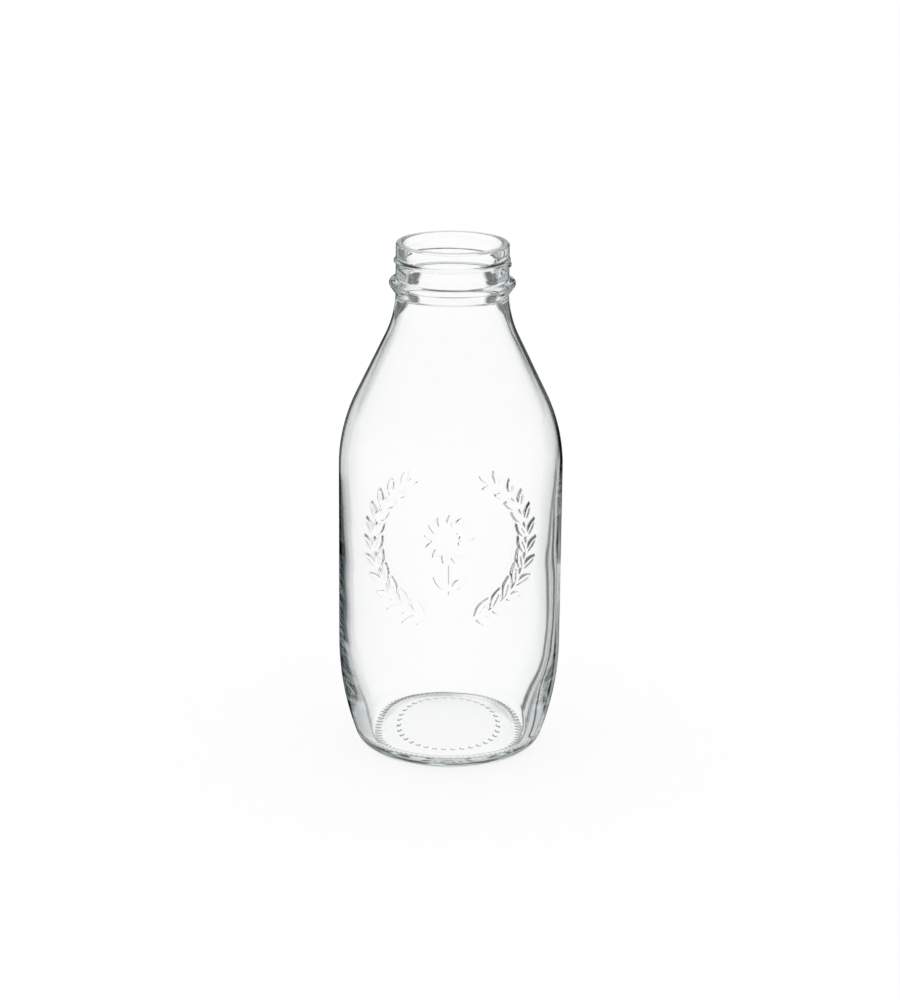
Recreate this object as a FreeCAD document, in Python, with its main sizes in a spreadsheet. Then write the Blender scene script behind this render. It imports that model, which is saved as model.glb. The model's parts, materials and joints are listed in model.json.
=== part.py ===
import FreeCAD, Part
import math
import os
import Sketcher

# Wide-mouth glass milk bottle, blown in one piece.
# Frame: origin at the centre of the base, on the surface that it stands on, +Z up the bottle's axis.

# Driving dimensions in millimetres. Heights are measured from the standing surface.
SIZES = {
    "overall_height": 222.0,
    "body_diameter": 95.6,
    "neck_diameter": 47.6,
    "body_wall": 3.0,
    "neck_wall": 3.0,
    # Lower body: heel, slow barrel curve, then the straight wall.
    "heel_radius": 8.7,
    "barrel_radius": 122.0,
    "barrel_height": 47.0,
    # Upper body: shoulder, straight slope in degrees from the upright, then the hollow sweep into the neck.
    "shoulder_radius": 72.0,
    "shoulder_slope": 25.75,
    "sweep_radius": 45.0,
    "finish_height": 20.5,
    # Base: the push-up underneath, the ring it stands on, and the floor above it.
    "pushup_rise": 3.5,
    "bearing_width": 3.0,
    "bearing_round": 1.5,
    "floor_height": 5.6,
    "floor_rise": 4.5,
    "floor_gutter": 1.0,
    "inner_heel_radius": 5.0,
    # Transfer bead under the screw finish, placed down from the lip.
    "bead_drop": 17.3,
    "bead_projection": 2.8,
    "bead_crest_radius": 1.8,
    "bead_rise": 3.4,
    "bead_fall": 4.6,
    "bead_root_round": 1.0,
    "lip_round": 1.2,
}

# What each dimension of the outer outline is worked out from.
OUTER = {
    "base": None,
    "rise": "Sizes.pushup_rise",
    "ring": "Sizes.bearing_width",
    "heel": "Sizes.heel_radius",
    "barrel": "Sizes.barrel_radius",
    "wall_low": "Sizes.barrel_height",
    "wall": "Sizes.body_diameter / 2",
    "shoulder": "Sizes.shoulder_radius",
    "slope": "Sizes.shoulder_slope",
    "sweep": "Sizes.sweep_radius",
    "neck_low": "Sizes.overall_height - Sizes.finish_height",
    "neck": "Sizes.neck_diameter / 2",
    "top": "Sizes.overall_height",
}

# The cavity follows the outer outline one wall thickness inside it, down to its own floor and heel.
INNER = dict(
    OUTER,
    base="Sizes.floor_height",
    rise="Sizes.floor_rise",
    ring="Sizes.floor_gutter",
    heel="Sizes.inner_heel_radius",
    barrel="Sizes.barrel_radius - Sizes.body_wall",
    wall="Sizes.body_diameter / 2 - Sizes.body_wall",
    shoulder="Sizes.shoulder_radius - Sizes.body_wall",
    sweep="Sizes.sweep_radius + Sizes.body_wall",
    neck="Sizes.neck_diameter / 2 - Sizes.neck_wall",
)

# How a sketch numbers the points of a curve, and its own axes and origin.
START, END, CENTRE = range(1, 4)
V_AXIS, H_AXIS = range(-2, 0)
ORIGIN = (H_AXIS, START)
# An edge to be rounded is found within this distance of where it should be.
NEAR = 2.0


def makeSheet(doc):
    sheet = doc.addObject("Spreadsheet::Sheet", "Sizes")
    for row, (name, value) in enumerate(SIZES.items(), start=1):
        sheet.set(f"A{row}", name)
        sheet.set(f"B{row}", str(value))
        sheet.setAlias(f"B{row}", name)
    doc.recompute()
    return sheet


def makeSketch(body, name):
    plane = next(item for item in body.Origin.OriginFeatures if item.Role == "XZ_Plane")
    sketch = body.newObject("Sketcher::SketchObject", name)
    sketch.AttachmentSupport = [(plane, "")]
    sketch.MapMode = "FlatFace"
    return sketch


def line(x1, z1, x2, z2):
    return Part.LineSegment(FreeCAD.Vector(x1, z1, 0), FreeCAD.Vector(x2, z2, 0))


def arc(x, z, radius, first, last):
    circle = Part.Circle(FreeCAD.Vector(x, z, 0), FreeCAD.Vector(0, 0, 1), radius)
    return Part.ArcOfCircle(circle, first, last)


def constrain(sketch, *what):
    return sketch.addConstraint(Sketcher.Constraint(*what))


def bind(sketch, name, expression, kind, *where):
    value = float(sketch.evalExpression(expression))
    index = constrain(sketch, kind, *where, value)
    sketch.renameConstraint(index, name)
    sketch.setExpression(f"Constraints.{name}", expression)


def closeSketch(doc, sketch):
    doc.recompute()
    if sketch.solve() != 0 or not sketch.FullyConstrained:
        raise RuntimeError(f"{sketch.Label} is not solved and fully constrained")


# Half of a bottle outline: domed base, flat ring, heel, barrel, wall, shoulder, slope, sweep and neck,
# every round stretch tangent to the next, closed along the axis.
def drawOutline(doc, body, name, terms):
    sketch = makeSketch(body, name)
    size = {key: float(sketch.evalExpression(term)) if term else 0.0 for key, term in terms.items()}
    base, heel, barrel, wall = size["base"], size["heel"], size["barrel"], size["wall"]
    lean = math.asin((size["wall_low"] - base - heel) / (barrel - heel))
    ringEdge = wall - barrel * (1 - math.cos(lean)) - heel * math.cos(lean)
    domeEdge = ringEdge - size["ring"]
    domeRadius = (domeEdge**2 + size["rise"] ** 2) / (2 * size["rise"])
    domeCentre = base + size["rise"] - domeRadius

    shoulder, sweep, neck = size["shoulder"], size["sweep"], size["neck"]
    slope = math.radians(size["slope"])
    slopeLow = wall - shoulder * (1 - math.cos(slope))
    slopeHigh = neck + sweep * (1 - math.cos(slope))
    slopeTop = size["neck_low"] - sweep * math.sin(slope)
    slopeFoot = slopeTop - (slopeLow - slopeHigh) / math.tan(slope)
    wallTop = slopeFoot - shoulder * math.sin(slope)

    parts = {
        "dome": arc(0, domeCentre, domeRadius, math.atan2(base - domeCentre, domeEdge), math.pi / 2),
        "ring": line(domeEdge, base, ringEdge, base),
        "heel": arc(ringEdge, base + heel, heel, -math.pi / 2, -lean),
        "barrel": arc(wall - barrel, size["wall_low"], barrel, -lean, 0),
        "wall": line(wall, size["wall_low"], wall, wallTop),
        "shoulder": arc(wall - shoulder, wallTop, shoulder, 0, slope),
        "slope": line(slopeLow, slopeFoot, slopeHigh, slopeTop),
        "sweep": arc(neck + sweep, size["neck_low"], sweep, math.pi, math.pi + slope),
        "neck": line(neck, size["neck_low"], neck, size["top"]),
        "top": line(neck, size["top"], 0, size["top"]),
        "axis": line(0, size["top"], 0, base + size["rise"]),
    }
    geo = {key: sketch.addGeometry(shape) for key, shape in parts.items()}

    for first, firstEnd, second, secondEnd in (
        ("dome", START, "ring", START),
        ("neck", END, "top", START),
        ("top", END, "axis", START),
        ("axis", END, "dome", END),
    ):
        constrain(sketch, "Coincident", geo[first], firstEnd, geo[second], secondEnd)
    for first, firstEnd, second, secondEnd in (
        ("ring", END, "heel", START),
        ("heel", END, "barrel", START),
        ("barrel", END, "wall", START),
        ("wall", END, "shoulder", START),
        ("shoulder", END, "slope", START),
        ("slope", END, "sweep", END),
        ("sweep", START, "neck", START),
    ):
        constrain(sketch, "Tangent", geo[first], firstEnd, geo[second], secondEnd)
    for key in ("ring", "top"):
        constrain(sketch, "Horizontal", geo[key])
    for key in ("wall", "neck", "axis"):
        constrain(sketch, "Vertical", geo[key])
    constrain(sketch, "PointOnObject", geo["dome"], CENTRE, V_AXIS)
    constrain(sketch, "PointOnObject", geo["axis"], START, V_AXIS)

    if terms["base"]:
        bind(sketch, "base", terms["base"], "DistanceY", *ORIGIN, geo["ring"], START)
    else:
        constrain(sketch, "PointOnObject", geo["ring"], START, H_AXIS)
    bind(sketch, "rise", terms["rise"], "DistanceY", geo["ring"], START, geo["dome"], END)
    bind(sketch, "ring", terms["ring"], "DistanceX", geo["ring"], START, geo["ring"], END)
    for key in ("heel", "barrel", "shoulder", "sweep"):
        bind(sketch, key, terms[key], "Radius", geo[key])
    bind(sketch, "wall", terms["wall"], "DistanceX", *ORIGIN, geo["wall"], START)
    bind(sketch, "wall_low", terms["wall_low"], "DistanceY", *ORIGIN, geo["wall"], START)
    index = constrain(sketch, "Angle", geo["slope"], math.pi / 2 + slope)
    sketch.renameConstraint(index, "slope")
    sketch.setExpression("Constraints.slope", f"(90 + {terms['slope']}) * 1 deg")
    bind(sketch, "neck", terms["neck"], "DistanceX", *ORIGIN, geo["neck"], START)
    bind(sketch, "neck_low", terms["neck_low"], "DistanceY", *ORIGIN, geo["neck"], START)
    bind(sketch, "top", terms["top"], "DistanceY", *ORIGIN, geo["neck"], END)
    closeSketch(doc, sketch)
    return sketch


# Section of the transfer bead: two flanks from the neck wall, tangent to a round crest.
def drawBead(doc, body, name):
    sketch = makeSketch(body, name)
    terms = {
        "root": "(Sizes.neck_diameter - Sizes.neck_wall) / 2",
        "neck": "Sizes.neck_diameter / 2",
        "crest": "Sizes.neck_diameter / 2 + Sizes.bead_projection - Sizes.bead_crest_radius",
        "level": "Sizes.overall_height - Sizes.bead_drop",
        "round": "Sizes.bead_crest_radius",
        "low": "Sizes.overall_height - Sizes.bead_drop - Sizes.bead_fall",
        "high": "Sizes.overall_height - Sizes.bead_drop + Sizes.bead_rise",
    }
    size = {key: float(sketch.evalExpression(term)) for key, term in terms.items()}
    root, neck, low, high = size["root"], size["neck"], size["low"], size["high"]
    crest, level, radius = size["crest"], size["level"], size["round"]

    def touch(height):
        run, drop = neck - crest, height - level
        turn = math.acos(radius / math.hypot(run, drop))
        return math.atan2(drop, run) - math.copysign(turn, drop)

    lowTouch, highTouch = touch(low), touch(high)
    parts = {
        "inside": line(root, high, root, low),
        "under": line(root, low, neck, low),
        "lower": line(
            neck, low, crest + radius * math.cos(lowTouch), level + radius * math.sin(lowTouch)
        ),
        "crest": arc(crest, level, radius, lowTouch, highTouch),
        "upper": line(
            crest + radius * math.cos(highTouch), level + radius * math.sin(highTouch), neck, high
        ),
        "over": line(neck, high, root, high),
    }
    geo = {key: sketch.addGeometry(shape) for key, shape in parts.items()}
    for first, second in (("inside", "under"), ("under", "lower"), ("upper", "over"), ("over", "inside")):
        constrain(sketch, "Coincident", geo[first], END, geo[second], START)
    for first, second in (("lower", "crest"), ("crest", "upper")):
        constrain(sketch, "Tangent", geo[first], END, geo[second], START)
    constrain(sketch, "Vertical", geo["inside"])
    for key in ("under", "over"):
        constrain(sketch, "Horizontal", geo[key])
    constrain(sketch, "Vertical", geo["under"], END, geo["over"], START)
    bind(sketch, "root", terms["root"], "DistanceX", *ORIGIN, geo["inside"], START)
    bind(sketch, "neck", terms["neck"], "DistanceX", *ORIGIN, geo["under"], END)
    bind(sketch, "low", terms["low"], "DistanceY", *ORIGIN, geo["under"], END)
    bind(sketch, "high", terms["high"], "DistanceY", *ORIGIN, geo["over"], START)
    bind(sketch, "crest", terms["crest"], "DistanceX", *ORIGIN, geo["crest"], CENTRE)
    bind(sketch, "level", terms["level"], "DistanceY", *ORIGIN, geo["crest"], CENTRE)
    bind(sketch, "round", terms["round"], "Radius", geo["crest"])
    closeSketch(doc, sketch)
    return sketch


def turn(doc, body, kind, name, sketch):
    before = body.Shape.Volume if body.Tip else 0.0
    feature = body.newObject(kind, name)
    feature.Profile = sketch
    feature.ReferenceAxis = (sketch, ["V_Axis"])
    feature.Angle = 360.0
    doc.recompute()
    grows = kind == "PartDesign::Revolution"
    if grows != (body.Shape.Volume > before):
        raise RuntimeError(f"{name} did not change the glass as it should")
    return feature


# Rounds the circular edges of the glass that lie nearest to each given radius and height.
def roundEdges(doc, body, name, wanted, expression):
    base = body.Tip
    circles = {}
    for index, edge in enumerate(base.Shape.Edges, start=1):
        if not edge.Degenerated and isinstance(edge.Curve, Part.Circle):
            circles[f"Edge{index}"] = (edge.Curve.Radius, edge.Curve.Center.z)
    names = [min(circles, key=lambda item: math.dist(circles[item], place)) for place in wanted]
    if any(math.dist(circles[item], place) > NEAR for item, place in zip(names, wanted)):
        raise RuntimeError(f"{name} found no edge where one should be")
    fillet = body.newObject("PartDesign::Fillet", name)
    fillet.Base = (base, names)
    fillet.setExpression("Radius", expression)
    doc.recompute()
    return fillet


def makeBottle(doc):
    body = doc.addObject("PartDesign::Body", "glass_bottle")
    body.Label = "glass_bottle"
    outline = drawOutline(doc, body, "OuterOutline", OUTER)
    turn(doc, body, "PartDesign::Revolution", "OuterForm", outline)
    bead = drawBead(doc, body, "BeadSection")
    turn(doc, body, "PartDesign::Revolution", "TransferBead", bead)
    cavity = drawOutline(doc, body, "CavityOutline", INNER)
    turn(doc, body, "PartDesign::Groove", "Cavity", cavity)

    def value(term):
        return float(body.evalExpression(term))

    top = value(OUTER["top"])
    neck = value(OUTER["neck"])
    mouth = value(INNER["neck"])
    ringEdge = outline.Geometry[1].StartPoint.x
    beadHigh = value("Sizes.overall_height - Sizes.bead_drop + Sizes.bead_rise")
    beadLow = value("Sizes.overall_height - Sizes.bead_drop - Sizes.bead_fall")
    lipLimit = "min(Sizes.lip_round; 0.45 * Sizes.neck_wall)"
    roundEdges(doc, body, "LipRound", [(neck, top), (mouth, top)], lipLimit)
    roundEdges(doc, body, "BearingRound", [(ringEdge, 0.0)], "Sizes.bearing_round")
    roundEdges(doc, body, "BeadRootRound", [(neck, beadHigh), (neck, beadLow)], "Sizes.bead_root_round")
    return body


def checkDocument(doc, bodies):
    for item in doc.Objects:
        if "Invalid" in item.State or "Error" in item.State:
            raise RuntimeError(f"{item.Label} failed: {item.State}")
    for body in bodies:
        shape = body.Shape
        if shape.isNull() or not shape.isValid() or len(shape.Solids) != 1:
            raise RuntimeError(f"{body.Label} is not one valid solid")


def main():
    doc = FreeCAD.newDocument("MilkBottle")
    makeSheet(doc)
    bodies = [makeBottle(doc)]
    doc.recompute()
    checkDocument(doc, bodies)
    os.makedirs("parts", exist_ok=True)
    for body in bodies:
        body.Shape.exportStep(f"parts/{body.Label}.step")
        box = body.Shape.BoundBox
        litres = body.Shape.Volume / 1e6
        print(f"{body.Label}: {box.XLength:.2f} x {box.YLength:.2f} x {box.ZLength:.2f} mm")
        print(f"glass: {litres:.4f} litre")


main()
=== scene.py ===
import json
import math

import bpy
import numpy as np
from mathutils import Euler, Matrix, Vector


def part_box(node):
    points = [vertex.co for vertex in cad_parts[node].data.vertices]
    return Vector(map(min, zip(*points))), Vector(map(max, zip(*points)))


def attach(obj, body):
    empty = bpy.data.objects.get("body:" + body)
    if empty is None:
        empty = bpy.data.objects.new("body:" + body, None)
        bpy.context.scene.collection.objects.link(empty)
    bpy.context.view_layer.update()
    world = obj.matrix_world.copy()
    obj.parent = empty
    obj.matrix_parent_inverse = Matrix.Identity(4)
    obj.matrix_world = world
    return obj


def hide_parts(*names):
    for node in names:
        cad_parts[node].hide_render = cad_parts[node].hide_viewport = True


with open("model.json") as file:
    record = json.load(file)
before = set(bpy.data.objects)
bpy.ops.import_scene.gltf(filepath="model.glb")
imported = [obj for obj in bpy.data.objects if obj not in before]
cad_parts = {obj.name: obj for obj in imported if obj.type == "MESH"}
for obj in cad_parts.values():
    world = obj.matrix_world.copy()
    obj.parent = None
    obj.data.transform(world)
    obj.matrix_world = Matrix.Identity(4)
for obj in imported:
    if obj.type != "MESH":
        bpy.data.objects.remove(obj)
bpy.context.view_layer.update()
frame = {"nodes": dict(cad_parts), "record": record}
mm = 0.001
print("frame loaded:", sorted(frame["nodes"]))


def hexColour(text):
    # sRGB hex to the linear values that sockets take
    parts = [int(text[i:i + 2], 16) / 255 for i in (1, 3, 5)]
    return [c / 12.92 if c <= 0.04045 else ((c + 0.055) / 1.055) ** 2.4 for c in parts] + [1.0]


def addNode(tree, kind, inputs=None, stops=None, **settings):
    # one node with its settings; a socket given for an input is linked, a value is set,
    # and the stops of a colour ramp are (place, hex colour); gives the node's outputs
    node = tree.nodes.new(kind)
    for key, value in settings.items():
        setattr(node, key, value)
    for key, value in (inputs or {}).items():
        if isinstance(value, bpy.types.NodeSocket):
            tree.links.new(value, node.inputs[key])
        else:
            node.inputs[key].default_value = value
    if stops:
        ramp = node.color_ramp.elements
        ramp.remove(ramp[1])
        for index, (place, colour) in enumerate(stops):
            stop = ramp.new(place) if index else ramp[0]
            stop.position = place
            stop.color = hexColour(colour)
    return node.outputs


# the blown form, in mm; height, body, neck and mouth come from the frame
mountSizes = {mount["name"]: mount["dims"] for mount in frame["record"]["mounts"]}
low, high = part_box("glass_bottle")
bottleForm = {
    "height": (high.z - low.z) / mm,
    "body": (high.x - low.x) / mm / 2,
    "neck": mountSizes["neck_finish"]["r_mm"],
    "mouth": mountSizes["mouth"]["r_mm"],
    "wall": 3.0,
    "heel": 8.7,
    "barrel": 122.0,         # slow curve from the heel to the straight wall
    "barrelTop": 47.0,
    "shoulder": 72.0,
    "slope": 25.75,          # degrees from upright
    "sweep": 45.0,           # hollow curve into the neck
    "finishHeight": 20.5,
    "pushUp": 3.5,
    "ring": 3.0,             # flat width that it stands on
    "floor": 5.6,
    "floorRise": 4.5,
    "gutter": 1.0,
    "innerHeel": 4.0,
    "lip": 1.2,
    "beadDrop": 17.3,
    "beadOut": 2.8,
    "beadCrest": 1.8,
    "beadRise": 2.4,
    "beadFall": 4.6,
}
meshRows = {
    "softenTimes": 2,
    "dome": 100,             # rows along the push-up, of which the next four take their share
    "hub": slice(2, 66, 4),
    "dots": slice(66, 82),
    "hubEdge": slice(84, 93, 4),
    "domeEdge": slice(95, None, 2),
    "ring": 6,
    "heel": 16,
    "ribHeel": 5,            # first row of the heel above the ribs
    "barrel": 22,
    "wallFoot": 4,
    "shoulder": 18,
    "shoulderTop": 10,
    "slope": 10,
    "sweep": 12,
    "beadUnder": 8,
    "beadCrest": 10,
    "beadOver": 6,
    "finish": 30,
    "lip": 6,
    "mouth": 14,
    "innerWall": 20,
    "gutter": 3,
    "floor": 14,
}
# mm between the last row of one run and the first of the next
rowGap = {"ring": 0.4, "relief": 1.0, "bead": 0.3, "neck": 0.35, "lip": 0.3, "mouth": 0.5}


def arcRun(x, z, radius, first, last, rows):
    turn = np.linspace(first, last, rows + 1)
    return np.stack([x + radius * np.cos(turn), z + radius * np.sin(turn)], 1)


def lineRun(x1, z1, x2, z2, rows):
    return np.linspace((x1, z1), (x2, z2), rows + 1)


def domeRun(edge, base, rise, rows):
    radius = (edge**2 + rise**2) / (2 * rise)
    centre = base + rise - radius
    return arcRun(0, centre, radius, math.pi / 2, math.atan2(base - centre, edge), rows)


def soften(points):
    # rounds the corners of a run a little, as the mould does, and keeps its ends
    for _ in range(meshRows["softenTimes"]):
        middle = (points[:-2] + 2 * points[1:-1] + points[2:]) / 4
        points = np.concatenate([points[:1], middle, points[-1:]])
    return points


def bump(distance, half):
    # a round hump of height 1 that ends at half
    return np.clip(1 - (distance / half) ** 2, 0, None) ** 1.5


def wallRuns(base, heel, barrel, wall, shoulder, sweep, neck):
    # heel, barrel, wall, shoulder, slope and sweep of one skin, from its standing ring up
    form = bottleForm
    rows = meshRows
    lean = math.asin((form["barrelTop"] - base - heel) / (barrel - heel))
    foot = wall - barrel * (1 - math.cos(lean)) - heel * math.cos(lean)
    slope = math.radians(form["slope"])
    neckLow = form["height"] - form["finishHeight"]
    slopeHigh = (neck + sweep * (1 - math.cos(slope)), neckLow - sweep * math.sin(slope))
    lowX = wall - shoulder * (1 - math.cos(slope))
    slopeLow = (lowX, slopeHigh[1] - (lowX - slopeHigh[0]) / math.tan(slope))
    wallTop = slopeLow[1] - shoulder * math.sin(slope)
    return {
        "foot": foot,
        "heel": arcRun(foot, base + heel, heel, -math.pi / 2, -lean, rows["heel"]),
        "barrel": arcRun(wall - barrel, form["barrelTop"], barrel, -lean, 0, rows["barrel"]),
        "wall": (wall, form["barrelTop"], wallTop),
        "shoulderArc": (wall - shoulder, wallTop, shoulder),
        "slopeTurn": slope,
        "shoulder": arcRun(wall - shoulder, wallTop, shoulder, 0, slope, rows["shoulder"]),
        "slope": lineRun(*slopeLow, *slopeHigh, rows["slope"]),
        "sweep": arcRun(neck + sweep, neckLow, sweep, math.pi + slope, math.pi, rows["sweep"]),
    }


def beadRun():
    # the transfer bead: a round crest between two straight flanks
    form = bottleForm
    level = form["height"] - form["beadDrop"]
    crest = form["neck"] + form["beadOut"] - form["beadCrest"]
    radius = form["beadCrest"]

    def touch(drop):
        run = form["neck"] - crest
        return math.atan2(drop, run) - math.copysign(math.acos(radius / math.hypot(run, drop)), drop)

    lowTouch, highTouch = touch(-form["beadFall"]), touch(form["beadRise"])
    top = arcRun(crest, level, radius, lowTouch, highTouch, meshRows["beadCrest"])
    under = lineRun(form["neck"], level - form["beadFall"], *top[0], meshRows["beadUnder"])
    over = lineRun(*top[-1], form["neck"], level + form["beadRise"], meshRows["beadOver"])
    return np.concatenate([under, top[1:], over[1:]])


neckThread = {
    "start": 56.0,           # degrees to the right of the front
    "turns": 1.12,
    "pitch": 2.6,
    "level": 212.6,          # height where it starts
    "proud": 0.95,
    "half": 1.05,            # half its height
    "runIn": 26.0,           # degrees over which it rises from the neck
}


def threadHeight(theta, z):
    # right-hand bead that climbs as it goes round
    thread = neckThread
    best = np.zeros(np.broadcast(theta, z).shape)
    start = math.radians(thread["start"])
    span = thread["turns"] * 2 * math.pi
    fade = math.radians(thread["runIn"])
    for lap in (-1, 0, 1, 2):
        along = theta + lap * 2 * math.pi - start
        level = thread["level"] + thread["pitch"] * along / (2 * math.pi)
        ends = np.clip(along / fade, 0, 1) * np.clip((span - along) / fade, 0, 1)
        ends = ends * ends * (3 - 2 * ends)
        best = np.maximum(best, thread["proud"] * ends * bump(z - level, thread["half"]))
    return best


baseMarks = {
    "ribs": 84,
    "ribDepth": 0.5,
    "ribIn": 29.5,
    "ribOut": 35.0,
    "ribFade": 1.2,
    "dots": 36,
    "dotRing": 21.5,
    "dotRadius": 1.0,
    "dotOut": 0.45,
}


def ribLift(theta, x):
    # hollows between the radial ribs that the bottle stands on
    marks = baseMarks
    inner = np.clip((x - marks["ribIn"]) / marks["ribFade"], 0, 1)
    outer = np.clip((marks["ribOut"] - x) / marks["ribFade"], 0, 1)
    return marks["ribDepth"] * inner * outer * (0.5 - 0.5 * np.cos(marks["ribs"] * theta)) ** 2


def dotDrop(theta, x):
    # ring of raised dots under the push-up
    marks = baseMarks
    pitch = 2 * math.pi / marks["dots"]
    off = (np.mod(theta, pitch) - pitch / 2) * marks["dotRing"]
    return marks["dotOut"] * bump(np.hypot(off, x - marks["dotRing"]), marks["dotRadius"])


# the raised relief lies in u, mm round the body from the front, and v, mm above the table
relief = {"half": 43.0, "low": 64.0, "high": 141.0, "step": 0.46, "edge": 0.6}
leafShape = {
    "fullness": 0.85,        # under 1 puts the widest place nearer the root
    "veinDeep": 0.6,         # share of the leaf's height
    "veinHalf": 0.35,
    "veinEnd": 0.85,         # share of the leaf's length
    "veinFade": 0.25,
}
wreath = {
    "centre": (0.0, 103.0),
    "across": 34.5,
    "tall": 32.0,
    "first": -104.0,         # degrees round the ellipse
    "last": 58.0,
    "bare": 24.0,            # degrees of bare stem at the foot
    "stemPoints": 40,
    "stem": 0.7,
    "stemHeight": 0.8,       # heights here are shares of proud
    "pairs": 11,
    "pairShift": 0.6,
    "leafLong": 11.0,
    "leafWide": 4.4,
    "lift": 36.0,            # degrees between leaf and stem
    "footSize": 1.06,
    "shrink": 0.3,           # how much smaller the leaves get to the tip
    "tipSize": 0.75,
    "berry": 1.3,
    "berryHeight": 1.1,
    "berryOut": 3.4,
    "berryTurn": 100.0,      # degrees from the stem
    "proud": 0.75,
}
daisy = {
    "centre": (0.0, 107.0),
    "petals": 13,
    "petalShift": 0.25,
    "inner": 3.0,
    "outer": 11.5,
    "wide": 3.9,
    "disc": 2.7,
    "discHeight": 0.8,       # heights here are shares of proud
    "seedDeep": 0.25,
    "seedPitch": 1.2083,     # mm
    "stalk": 0.7,
    "stalkHeight": 0.8,
    "foot": 83.0,
    "leafAbove": 1.5,        # where the leaves leave the stalk, above its foot
    "leafLong": 10.0,
    "leafWide": 4.0,
    "leafLift": 48.0,        # degrees between leaf and stalk
    "proud": 0.8,
}


def pillow(inside):
    # a flat-topped form with a rounded edge, from the distance inside its outline
    rise = np.clip(inside / relief["edge"], 0, 1)
    return rise * rise * (3 - 2 * rise)


def stroke(u, v, start, end, half):
    # a round ridge from start to end
    (x1, y1), (x2, y2) = start, end
    run = (x2 - x1) ** 2 + (y2 - y1) ** 2
    t = np.clip(((u - x1) * (x2 - x1) + (v - y1) * (y2 - y1)) / run, 0, 1)
    return bump(np.hypot(u - x1 - t * (x2 - x1), v - y1 - t * (y2 - y1)), half)


def leaf(u, v, root, angle, long, wide):
    # a pointed leaf with a groove for its vein
    shape = leafShape
    along = (u - root[0]) * math.cos(angle) + (v - root[1]) * math.sin(angle)
    across = (v - root[1]) * math.cos(angle) - (u - root[0]) * math.sin(angle)
    place = np.clip(along / long, 0, 1)
    half = wide / 2 * np.sin(math.pi * place ** shape["fullness"])
    vein = shape["veinDeep"] * np.exp(-(across / shape["veinHalf"]) ** 2)
    vein = vein * np.clip((shape["veinEnd"] - place) / shape["veinFade"], 0, 1)
    return pillow(half - np.abs(across)) * (1 - vein) * ((along > 0) & (along < long))


def branch(u, v):
    # the right branch: its stem, pairs of leaves, a berry at every second pair and a leaf at the tip
    plan = wreath
    x, y = plan["centre"]
    across, tall = plan["across"], plan["tall"]
    turn = np.radians(np.linspace(plan["first"], plan["last"], plan["stemPoints"]))
    path = np.stack([x + across * np.cos(turn), y + tall * np.sin(turn)], 1)
    height = np.zeros(u.shape)
    for start, end in zip(path[:-1], path[1:]):
        height = np.maximum(height, plan["stemHeight"] * stroke(u, v, start, end, plan["stem"]))
    leafFirst = plan["first"] + plan["bare"]
    for k in range(plan["pairs"]):
        share = (k + plan["pairShift"]) / plan["pairs"]
        at = math.radians(leafFirst + (plan["last"] - leafFirst) * share)
        root = (x + across * math.cos(at), y + tall * math.sin(at))
        way = math.atan2(tall * math.cos(at), -across * math.sin(at))
        size = plan["footSize"] - plan["shrink"] * share
        for side in (1, -1):
            angle = way + side * math.radians(plan["lift"])
            oneLeaf = leaf(u, v, root, angle, plan["leafLong"] * size, plan["leafWide"] * size)
            height = np.maximum(height, oneLeaf)
        if k % 2:
            inward = way + math.radians(plan["berryTurn"])
            berryX = root[0] + plan["berryOut"] * math.cos(inward)
            berryY = root[1] + plan["berryOut"] * math.sin(inward)
            berry = bump(np.hypot(u - berryX, v - berryY), plan["berry"])
            height = np.maximum(height, plan["berryHeight"] * berry)
    tip = math.atan2(tall * math.cos(turn[-1]), -across * math.sin(turn[-1]))
    size = plan["tipSize"]
    tipLeaf = leaf(u, v, path[-1], tip, plan["leafLong"] * size, plan["leafWide"] * size)
    return np.maximum(height, tipLeaf)


def flower(u, v):
    # a daisy: seeded disc, petals, stalk and two leaves
    plan = daisy
    x, y = plan["centre"]
    seedTurn = 2 * math.pi / plan["seedPitch"]
    seeds = 1 + plan["seedDeep"] * np.cos(seedTurn * (u - x)) * np.cos(seedTurn * (v - y))
    height = plan["discHeight"] * bump(np.hypot(u - x, v - y), plan["disc"]) * seeds
    for k in range(plan["petals"]):
        angle = 2 * math.pi * (k + plan["petalShift"]) / plan["petals"]
        root = (x + plan["inner"] * math.cos(angle), y + plan["inner"] * math.sin(angle))
        height = np.maximum(height, leaf(u, v, root, angle, plan["outer"] - plan["inner"], plan["wide"]))
    stalk = stroke(u, v, (x, y - plan["outer"]), (x, plan["foot"]), plan["stalk"])
    height = np.maximum(height, plan["stalkHeight"] * stalk)
    for side in (1, -1):
        angle = math.radians(90 - side * plan["leafLift"])
        root = (x, plan["foot"] + plan["leafAbove"])
        height = np.maximum(height, leaf(u, v, root, angle, plan["leafLong"], plan["leafWide"]))
    return height


def reliefHeight(u, z):
    v = np.full(u.shape, z)
    leaves = np.maximum(branch(u, v), branch(-u, v))
    return np.maximum(wreath["proud"] * leaves, daisy["proud"] * flower(u, v))


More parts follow.
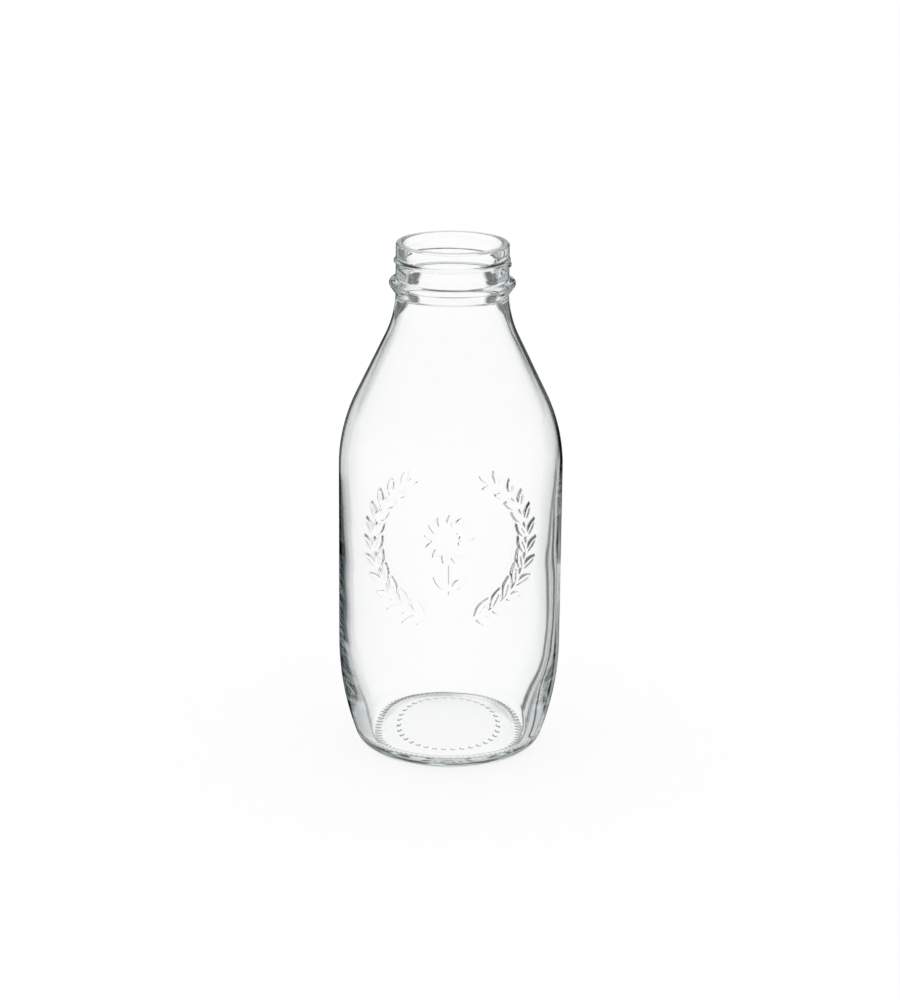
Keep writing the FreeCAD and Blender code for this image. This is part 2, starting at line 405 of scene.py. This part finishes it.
insideWall = {
    # how much thinner than its nominal size the wall is, by height in mm, as the blown glass settled
    "height": (5, 20, 30, 40, 52, 70, 84, 98, 112, 126, 165, 185, 194, 199, 204, 209, 213, 217, 222),
    "thinner": (-2.5, -2.2, -1.4, -0.55, -0.05, 0.15, 0.35, 0.8, 1.25, 1.5, 1.7,
                1.3, 0.7, -0.3, -1.3, -1.3, -0.6, 0.0, 0.0),
    "blend": 5.0,            # mm to each side over which one thickness passes into the next
    "blendSteps": 11,
    "heavySide": 0.55,       # how much more glass the right side has, and the left side less
    "heavyAt": 92.0,
    "heavySpan": 45.0,
    "waves": 0.03,           # mm
    # each slow wave: times round the bottle, turn in radians a mm of height, start, share of the size
    "waveList": ((3, -0.16, 1.17, 0.5), (3, 0.26, -1.17, 0.5), (5, -0.09, 1.3, 0.7), (2, 0.31, 0.0, 0.5)),
    "waveLow": 12.0,         # the waves fade out towards the floor and the neck
    "waveHigh": 200.0,
    "waveFade": 20.0,
    "floorTop": 60.0,        # below this the wall changes only outside floorIn, and in full from floorOut
    "floorIn": 20.0,
    "floorOut": 35.0,
}


def insideDrift(theta, x, z):
    plan = insideWall
    near = z + plan["blend"] * np.linspace(-1, 1, plan["blendSteps"])
    thin = np.interp(near, plan["height"], plan["thinner"]).mean()
    side = plan["heavySide"] * np.sin(theta) * math.exp(-((z - plan["heavyAt"]) / plan["heavySpan"]) ** 2)
    calm = np.clip((z - plan["waveLow"]) / plan["waveFade"], 0, 1)
    calm = calm * np.clip((plan["waveHigh"] - z) / plan["waveFade"], 0, 1)
    waves = 0
    for times, climb, start, share in plan["waveList"]:
        waves = waves + share * np.sin(times * theta + climb * z + start)
    drift = thin - side + plan["waves"] * calm * waves
    if z < plan["floorTop"]:
        drift = drift * np.clip((x - plan["floorIn"]) / (plan["floorOut"] - plan["floorIn"]), 0, 1)
    return drift


# points round each stretch; those of the dots and ribs are for one of them
meshColumns = {"hub": 64, "dot": 8, "rib": 6, "body": 176, "back": 52, "finish": 184, "inside": 112}


def evenAngles(count):
    return -math.pi + 2 * math.pi * np.arange(count) / count


def reliefAngles():
    # fine columns over the relief, coarse ones round the back
    edge = relief["half"] / bottleForm["body"]
    fine = np.linspace(-edge, edge, int(2 * relief["half"] / relief["step"]) + 1)
    rest = np.linspace(edge, math.pi, meshColumns["back"])[1:]
    return np.concatenate([[-math.pi], -rest[:-1][::-1], fine, rest[:-1]])


columnSets = {
    "hub": evenAngles(meshColumns["hub"]),
    "dots": evenAngles(baseMarks["dots"] * meshColumns["dot"]),
    "ribs": evenAngles(baseMarks["ribs"] * meshColumns["rib"]),
    "body": evenAngles(meshColumns["body"]),
    "relief": reliefAngles(),
    "finish": evenAngles(meshColumns["finish"]),
    "inside": evenAngles(meshColumns["inside"]),
}


def outsideStretches(outer):
    # from the middle of the push-up, out under the base and up to the lip
    form = bottleForm
    rows = meshRows
    step = relief["step"]
    top = form["height"]
    lip = form["lip"]
    ringIn = outer["foot"] - form["ring"]
    dome = domeRun(ringIn, 0, form["pushUp"], rows["dome"])
    ribRun = soften(np.concatenate([
        dome[rows["domeEdge"]],
        lineRun(ringIn + rowGap["ring"], 0, outer["foot"], 0, rows["ring"]),
        outer["heel"][1:rows["ribHeel"]]]))
    barrelRun = np.concatenate([outer["heel"][rows["ribHeel"]:], outer["barrel"][1:-1]])
    wallX, wallLow, wallHigh = outer["wall"]
    wallRun = lineRun(wallX, wallLow, wallX, relief["low"] - rowGap["relief"], rows["wallFoot"])
    shoulderX, shoulderZ, shoulderR = outer["shoulderArc"]
    reliefTurn = math.asin((relief["high"] - shoulderZ) / shoulderR)
    reliefRun = np.concatenate([
        lineRun(wallX, relief["low"], wallX, wallHigh, int((wallHigh - relief["low"]) / step)),
        arcRun(shoulderX, shoulderZ, shoulderR, 0, reliefTurn, int(shoulderR * reliefTurn / step))[1:]])
    bead = beadRun()
    belowBead = outer["sweep"][outer["sweep"][:, 1] < bead[0, 1] - rowGap["bead"]]
    slopeRun = np.concatenate([
        arcRun(shoulderX, shoulderZ, shoulderR, reliefTurn, outer["slopeTurn"], rows["shoulderTop"])[1:],
        outer["slope"][1:],
        belowBead[1:]])
    neckFoot = bead[-1, 1] + rowGap["neck"]
    finishRun = soften(np.concatenate([
        bead,
        lineRun(form["neck"], neckFoot, form["neck"], top - lip - rowGap["lip"], rows["finish"])]))
    lipRun = np.concatenate([
        arcRun(form["neck"] - lip, top - lip, lip, 0, math.pi / 2, rows["lip"]),
        arcRun(form["mouth"] + lip, top - lip, lip, math.pi / 2, math.pi, rows["lip"])])
    return [
        ("hub", dome[rows["hub"]], None),
        ("dots", dome[rows["dots"]], "dots"),
        ("hub", dome[rows["hubEdge"]], None),
        ("ribs", ribRun, "ribs"),
        ("body", barrelRun, None),
        ("body", wallRun, None),
        ("relief", reliefRun, "relief"),
        ("body", slopeRun, None),
        ("finish", finishRun, "finish"),
        ("finish", lipRun, None),
    ]


def insideStretch(inner):
    # from the lip down to the middle of the floor
    form = bottleForm
    rows = meshRows
    mouthTop = form["height"] - form["lip"] - rowGap["mouth"]
    innerX, wallLow, wallHigh = inner["wall"]
    gutterIn = inner["foot"] - form["gutter"]
    run = np.concatenate([
        lineRun(form["mouth"], mouthTop, form["mouth"], inner["sweep"][-1, 1], rows["mouth"]),
        inner["sweep"][::-1][1:],
        inner["slope"][::-1][1:],
        inner["shoulder"][::-1][1:],
        lineRun(innerX, wallHigh, innerX, wallLow, rows["innerWall"])[1:],
        inner["barrel"][::-1][2::2],
        inner["heel"][::-1][1:],
        lineRun(inner["foot"], form["floor"], gutterIn, form["floor"], rows["gutter"])[1:],
        domeRun(gutterIn, form["floor"], form["floorRise"], rows["floor"])[::-1][1:-1]])
    return ("inside", run, "inside")


def bottleStretches():
    form = bottleForm
    wall = form["wall"]
    outer = wallRuns(0, form["heel"], form["barrel"], form["body"],
                     form["shoulder"], form["sweep"], form["neck"])
    inner = wallRuns(form["floor"], form["innerHeel"], form["barrel"] - wall, form["body"] - wall,
                     form["shoulder"] - wall, form["sweep"] + wall, form["mouth"])
    return outsideStretches(outer) + [insideStretch(inner)]


def mouldRow(kind, theta, x, z):
    # radius and height of one row of points, with what the mould cuts into that stretch
    radius = np.full(theta.shape, x)
    height = np.full(theta.shape, z)
    if kind == "finish":
        radius = radius + threadHeight(theta, z)
    if kind == "relief":
        radius = radius + reliefHeight(theta * bottleForm["body"], z)
    if kind == "ribs":
        height = height + ribLift(theta, x)
    if kind == "dots":
        height = height - dotDrop(theta, x)
    if kind == "inside":
        radius = radius + insideDrift(theta, x, z)
    return radius, height


def zipRings(first, firstAngles, second, secondAngles):
    # triangles between two rings of different counts, both starting at the back
    faces = []
    i = j = 0
    na, nb = len(firstAngles), len(secondAngles)
    nextA = np.append(firstAngles[1:], math.pi)
    nextB = np.append(secondAngles[1:], math.pi)
    while i < na or j < nb:
        if j == nb or (i < na and nextA[i] <= nextB[j]):
            faces.append((first + i, first + (i + 1) % na, second + j % nb))
            i += 1
        else:
            faces.append((first + i % na, second + (j + 1) % nb, second + j))
            j += 1
    return faces


def buildBottle():
    # rings of points from the middle of the push-up, over the lip and down to the middle of the floor
    points = [np.array([[0, 0, bottleForm["pushUp"]]])]
    faces = []
    count = 1
    before = None
    for columns, run, mould in bottleStretches():
        theta = columnSets[columns]
        n = len(theta)
        for x, z in run:
            radius, height = mouldRow(mould, theta, x, z)
            points.append(np.stack([radius * np.sin(theta), -radius * np.cos(theta), height], 1))
            if before is None:
                faces += [(0, count + (k + 1) % n, count + k) for k in range(n)]
            elif before[1] == columns:
                a, b = before[0], count
                faces += [(a + k, a + (k + 1) % n, b + (k + 1) % n, b + k) for k in range(n)]
            else:
                faces += zipRings(before[0], columnSets[before[1]], count, theta)
            before = (count, columns)
            count += n
    n = len(columnSets[before[1]])
    points.append(np.array([[0, 0, bottleForm["floor"] + bottleForm["floorRise"]]]))
    faces += [(before[0] + k, before[0] + (k + 1) % n, count) for k in range(n)]
    mesh = bpy.data.meshes.new("glassBottle")
    mesh.from_pydata((np.concatenate(points) * mm).tolist(), [], faces)
    mesh.validate()
    mesh.shade_smooth()
    bottle = bpy.data.objects.new("glassBottle", mesh)
    bpy.context.scene.collection.objects.link(bottle)
    mesh.calc_loop_triangles()
    print("bottle:", len(mesh.vertices), "points,", len(mesh.loop_triangles), "triangles")
    return bottle


glassFinish = {
    "depthColour": "#CAD8D8",   # what a long way through the glass leaves of white light
    "depthDensity": 4.5,
    "ior": 1.52,
    "swirl": 12.0,           # mm across one slow wave in the skin
    "swirlDetail": 1.0,
    "swirlDeep": 0.02,       # mm
    "scuff": 1.6,            # mm across a handling mark, coarser than a real one so that it shows
    "scuffDetail": 3.0,
    "scuffFrom": 0.55,       # the noise that makes a mark starts here and is full at scuffFull
    "scuffFull": 0.8,
    "scuffRough": 0.012,
    "ringTop": 0.9,          # mm, height of the worn ring that it stands on
    "ringRough": 0.1,
}


def blownGlass():
    # soda-lime glass blown in a mould: clear, faintly grey-green where it is thick, fire-polished and
    # a little wavy, with fine handling marks and a frosted ring where it has slid on shelves
    finish = glassFinish
    material = bpy.data.materials.new("blownSodaLimeGlass")
    material.use_nodes = True
    tree = material.node_tree
    tree.nodes.clear()
    place = addNode(tree, "ShaderNodeTexCoord")["Object"]
    swirl = addNode(tree, "ShaderNodeTexNoise", {
        "Vector": place, "Scale": 1 / (finish["swirl"] * mm), "Detail": finish["swirlDetail"]})[0]
    skin = addNode(tree, "ShaderNodeBump", {
        "Height": swirl, "Strength": 1.0, "Distance": finish["swirlDeep"] * mm})[0]
    marks = addNode(tree, "ShaderNodeTexNoise", {
        "Vector": place, "Scale": 1 / (finish["scuff"] * mm), "Detail": finish["scuffDetail"]})[0]
    scuffs = addNode(tree, "ShaderNodeMapRange", {
        "Value": marks, "From Min": finish["scuffFrom"], "From Max": finish["scuffFull"],
        "To Max": finish["scuffRough"]})[0]
    height = addNode(tree, "ShaderNodeSeparateXYZ", {0: place})["Z"]
    worn = addNode(tree, "ShaderNodeMapRange", {
        "Value": height, "From Min": finish["ringTop"] * mm, "From Max": 0.0,
        "To Max": finish["ringRough"]})[0]
    rough = addNode(tree, "ShaderNodeMath", {0: scuffs, 1: worn}, operation="MAXIMUM")[0]
    shader = addNode(tree, "ShaderNodeBsdfPrincipled", {
        "Base Color": hexColour("#FFFFFF"), "Roughness": rough, "IOR": finish["ior"],
        "Transmission Weight": 1.0, "Normal": skin})["BSDF"]
    depth = addNode(tree, "ShaderNodeVolumeAbsorption", {
        "Color": hexColour(finish["depthColour"]), "Density": finish["depthDensity"]})["Volume"]
    addNode(tree, "ShaderNodeOutputMaterial", {"Surface": shader, "Volume": depth})
    print("material:", material.name)
    return material


paperFloor = {
    "half": 4.0,             # metres
    "colour": "#FFFFFF",
    "glow": 0.85,            # share that the camera sees as plain white
}


def studioFloor():
    # white paper on a lit table: seen white, with a trace of the shadow
    half = paperFloor["half"]
    mesh = bpy.data.meshes.new("floor")
    corners = [(-half, -half, 0), (half, -half, 0), (half, half, 0), (-half, half, 0)]
    mesh.from_pydata(corners, [], [(0, 1, 2, 3)])
    floor = bpy.data.objects.new("floor", mesh)
    bpy.context.scene.collection.objects.link(floor)
    material = bpy.data.materials.new("whitePaper")
    material.use_nodes = True
    tree = material.node_tree
    tree.nodes.clear()
    white = hexColour(paperFloor["colour"])
    paper = addNode(tree, "ShaderNodeBsdfDiffuse", {"Color": white})[0]
    glow = addNode(tree, "ShaderNodeEmission", {"Color": white, "Strength": 1.0})[0]
    ray = addNode(tree, "ShaderNodeLightPath")
    share = addNode(tree, "ShaderNodeMath", {0: ray["Is Camera Ray"], 1: paperFloor["glow"]},
                    operation="MULTIPLY")[0]
    both = addNode(tree, "ShaderNodeMixShader", {0: share, 1: paper, 2: glow})[0]
    addNode(tree, "ShaderNodeOutputMaterial", {"Surface": both})
    mesh.materials.append(material)
    floor.visible_transmission = False
    floor.visible_glossy = False
    print("floor:", material.name)


studio = {
    # cards round the bottle by compass angle, 0 straight behind it: what the glass bends into view, then
    # what its faces mirror near the table, at the body, at the shoulder and at the neck
    "byCompass": {
        "through": [
            (-180, "#F4F4F4"), (-126, "#F4F4F4"), (-122, "#0C1212"), (-106, "#0C1212"), (-102, "#FFFFFF"),
            (-78, "#FFFFFF"), (-74, "#0C1212"), (-62, "#0C1212"), (-58, "#FFFFFF"), (-37, "#FFFFFF"),
            (-36, "#0C1212"), (-28, "#0C1212"), (-25, "#F0F2F2"), (-14, "#FFFFFF"), (14, "#FFFFFF"),
            (15, "#1C2424"), (18, "#1C2424"), (19, "#EEF0EF"), (23, "#E8E8E8"), (25, "#0C1212"),
            (40, "#0C1212"), (44, "#E8E8E8"), (100, "#E8E8E8"), (104, "#0C1212"), (120, "#0C1212"),
            (124, "#FFFFFF"), (146, "#FFFFFF"), (150, "#0C1212"), (166, "#0C1212"), (170, "#F4F4F4"),
            (180, "#F4F4F4")],
        "mirroredLow": [
            (-180, "#FFFFFF"), (-60, "#F0F0F0"), (-40, "#D8DCDC"), (-20, "#C0C6C6"), (0, "#DCE0E0"),
            (31, "#D8DCDC"), (33, "#202828"), (36, "#202828"), (38, "#D8DCDC"), (180, "#FFFFFF")],
        "mirrored": [
            (-180, "#FFFFFF"), (-60, "#F0F0F0"), (-46, "#70787A"), (-31, "#687072"), (-28, "#0A0E0E"),
            (-1, "#060A0A"), (2, "#D0D4D4"), (13, "#D0D4D4"), (14, "#101616"), (17, "#101616"),
            (18, "#D8DCDC"), (30, "#D8DCDC"), (31, "#101616"), (36, "#101616"), (38, "#E0E4E4"),
            (180, "#FFFFFF")],
        "mirroredHigh": [
            (-180, "#FFFFFF"), (-78, "#FFFFFF"), (-62, "#D0D4D4"), (-27, "#D8DCDC"), (-23, "#0C1212"),
            (0, "#0C1212"), (3, "#F4F4F4"), (8, "#F4F4F4"), (10, "#101616"), (28, "#202828"),
            (32, "#D8DCDC"), (46, "#F0F0F0"), (180, "#FFFFFF")],
        "mirroredNeck": [
            (-180, "#FFFFFF"), (-60, "#F0F0F0"), (-44, "#404848"), (-19, "#101818"), (-16, "#E8ECEC"),
            (9.5, "#F4F4F4"), (12, "#202828"), (23, "#384040"), (40, "#404848"), (56, "#F0F0F0"),
            (180, "#FFFFFF")],
    },
    # light that turns in the glass more than once, and many times, by degrees above the horizon
    "byLift": {
        "soft": [
            (-90, "#E0E4E4"), (-44, "#E0E4E4"), (-39, "#303838"), (-19, "#202828"), (-16, "#C0C4C4"),
            (-6, "#B0B4B4"), (-1, "#6C7474"), (13, "#6C7474"), (18, "#E0E4E4"), (90, "#E8ECEC")],
        "deep": [
            (-90, "#E0E4E4"), (-26, "#E0E4E4"), (-18, "#A4ACAC"), (4, "#A4ACAC"), (13, "#080C0C"),
            (42, "#080C0C"), (50, "#F4F4F4"), (90, "#F4F4F4")],
    },
    "turns": {"mirror": 1, "soft": 2, "deep": 5},     # how often a ray was mirrored before it sees each
    # degrees above the horizon where each starts and where it is full
    "steps": {
        "cardLow": (-48.0, -46.0), "cardTop": (17.0, 15.0),
        "darkLow": (-55.0, -53.0), "darkTop": (30.0, 28.0),
        "flagLow": (-1.0, 1.0),
        "low": (-26.0, -27.5), "high": (-18.5, -16.0), "neck": (1.0, 4.0),
    },
    "flagIn": (9.5, 12.5),   # dark flags to both sides of the upper card, degrees from its middle
    "flagOut": 40.0,
    "plain": {"white": "#FFFFFF", "paleWall": "#F0F0F0", "darkRim": "#202828", "flag": "#141A1A"},
}


def studioWorld():
    # white to the camera and the floor, cards to the rays that have met the glass
    world = bpy.data.worlds.new("studio")
    bpy.context.scene.world = world
    world.use_nodes = True
    tree = world.node_tree
    tree.nodes.clear()
    ray = addNode(tree, "ShaderNodeLightPath")
    place = addNode(tree, "ShaderNodeTexCoord")["Generated"]
    axes = addNode(tree, "ShaderNodeSeparateXYZ", {0: place})
    compass = addNode(tree, "ShaderNodeMath", {0: axes["X"], 1: axes["Y"]}, operation="ARCTAN2")[0]
    lift = addNode(tree, "ShaderNodeMath", {0: axes["Z"]}, operation="ARCSINE")[0]

    looks = {name: hexColour(colour) for name, colour in studio["plain"].items()}
    for group, angle in (("byCompass", compass), ("byLift", lift)):
        for name, card in studio[group].items():
            first, last = card[0][0], card[-1][0]
            share = addNode(tree, "ShaderNodeMapRange", {
                "Value": angle, "From Min": math.radians(first), "From Max": math.radians(last)})[0]
            stops = [((at - first) / (last - first), colour) for at, colour in card]
            looks[name] = addNode(tree, "ShaderNodeValToRGB", {"Fac": share}, stops)["Color"]
    steps = {}
    for name, (start, full) in studio["steps"].items():
        steps[name] = addNode(tree, "ShaderNodeMapRange", {
            "Value": lift, "From Min": math.radians(start), "From Max": math.radians(full)},
            interpolation_type="SMOOTHSTEP")[0]
    turned = {}
    for name, count in studio["turns"].items():
        turned[name] = addNode(tree, "ShaderNodeMath", {0: ray["Glossy Depth"], 1: count - 0.5},
                               operation="GREATER_THAN")[0]

    inCard = addNode(tree, "ShaderNodeMath", {0: steps["cardLow"], 1: steps["cardTop"]},
                     operation="MULTIPLY")[0]
    inDark = addNode(tree, "ShaderNodeMath", {0: steps["darkLow"], 1: steps["darkTop"]},
                     operation="MULTIPLY")[0]
    aside = addNode(tree, "ShaderNodeMath", {0: compass}, operation="ABSOLUTE")[0]
    near, far = studio["flagIn"]
    flag = addNode(tree, "ShaderNodeMapRange", {
        "Value": aside, "From Min": math.radians(near), "From Max": math.radians(far)})[0]
    flagEnd = addNode(tree, "ShaderNodeMath", {0: aside, 1: math.radians(studio["flagOut"])},
                      operation="LESS_THAN")[0]
    for limit in (steps["flagLow"], flagEnd):
        flag = addNode(tree, "ShaderNodeMath", {0: flag, 1: limit}, operation="MULTIPLY")[0]
    touched = addNode(tree, "ShaderNodeMath", {0: ray["Glossy Depth"], 1: ray["Transmission Depth"]},
                      operation="ADD")[0]
    met = addNode(tree, "ShaderNodeMath", {0: touched, 1: 0.5}, operation="GREATER_THAN")[0]
    lit = addNode(tree, "ShaderNodeMath", {0: met, 1: ray["Diffuse Depth"]},
                  operation="SUBTRACT", use_clamp=True)[0]

    # each line lays one look over another by a share, and names the outcome
    for name, under, share, over in (
            ("rim", "white", inDark, "darkRim"),
            ("bent", "rim", inCard, "through"),
            ("bent", "bent", flag, "flag"),
            ("mirror", "mirrored", steps["high"], "mirroredHigh"),
            ("mirror", "mirror", steps["neck"], "mirroredNeck"),
            ("mirror", "mirror", steps["low"], "mirroredLow"),
            ("mirror", "paleWall", inCard, "mirror"),
            ("soft", "soft", turned["deep"], "deep"),
            ("mirror", "mirror", turned["soft"], "soft"),
            ("card", "bent", turned["mirror"], "mirror"),
            ("seen", "white", lit, "card")):
        looks[name] = addNode(tree, "ShaderNodeMix", {0: share, 6: looks[under], 7: looks[over]},
                              data_type="RGBA")[2]
    light = addNode(tree, "ShaderNodeBackground", {"Color": looks["seen"], "Strength": 1.0})[0]
    addNode(tree, "ShaderNodeOutputWorld", {"Surface": light})
    print("studio:", len(studio["byCompass"]) + len(studio["byLift"]), "cards")


photoView = {
    "away": 1.167,           # metres in front of the bottle's axis
    "height": 0.471,
    "pitch": 17.22,          # degrees down
    "roll": 0.52,
    "focal": 2851.0,         # pixels
    "frameLong": 1000.0,     # pixels on the long side of the frame
    "sensor": 36.0,          # mm
    "shift": -0.0005,
}


def photoCamera():
    view = photoView
    data = bpy.data.cameras.new("camera")
    data.sensor_width = view["sensor"]
    data.lens = view["focal"] * view["sensor"] / view["frameLong"]
    data.shift_x = view["shift"]
    camera = bpy.data.objects.new("camera", data)
    camera.location = (0, -view["away"], view["height"])
    camera.rotation_mode = "XYZ"
    aim = Euler((math.radians(90 - view["pitch"]), 0, 0)).to_matrix()
    camera.rotation_euler = (aim @ Matrix.Rotation(math.radians(view["roll"]), 3, "Z")).to_euler()
    bpy.context.scene.collection.objects.link(camera)
    bpy.context.scene.camera = camera
    print("camera:", round(data.lens, 1), "mm")


bottle = buildBottle()
bottle.data.materials.append(blownGlass())
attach(bottle, "root")
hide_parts("glass_bottle")
studioFloor()
studioWorld()
photoCamera()
bpy.context.scene.view_settings.view_transform = "Standard"
# light that the thick base leads round needs many turns
lightTurns = {"max_bounces": 64, "glossy_bounces": 40, "transmission_bounces": 40}
for setting, turns in lightTurns.items():
    setattr(bpy.context.scene.cycles, setting, turns)
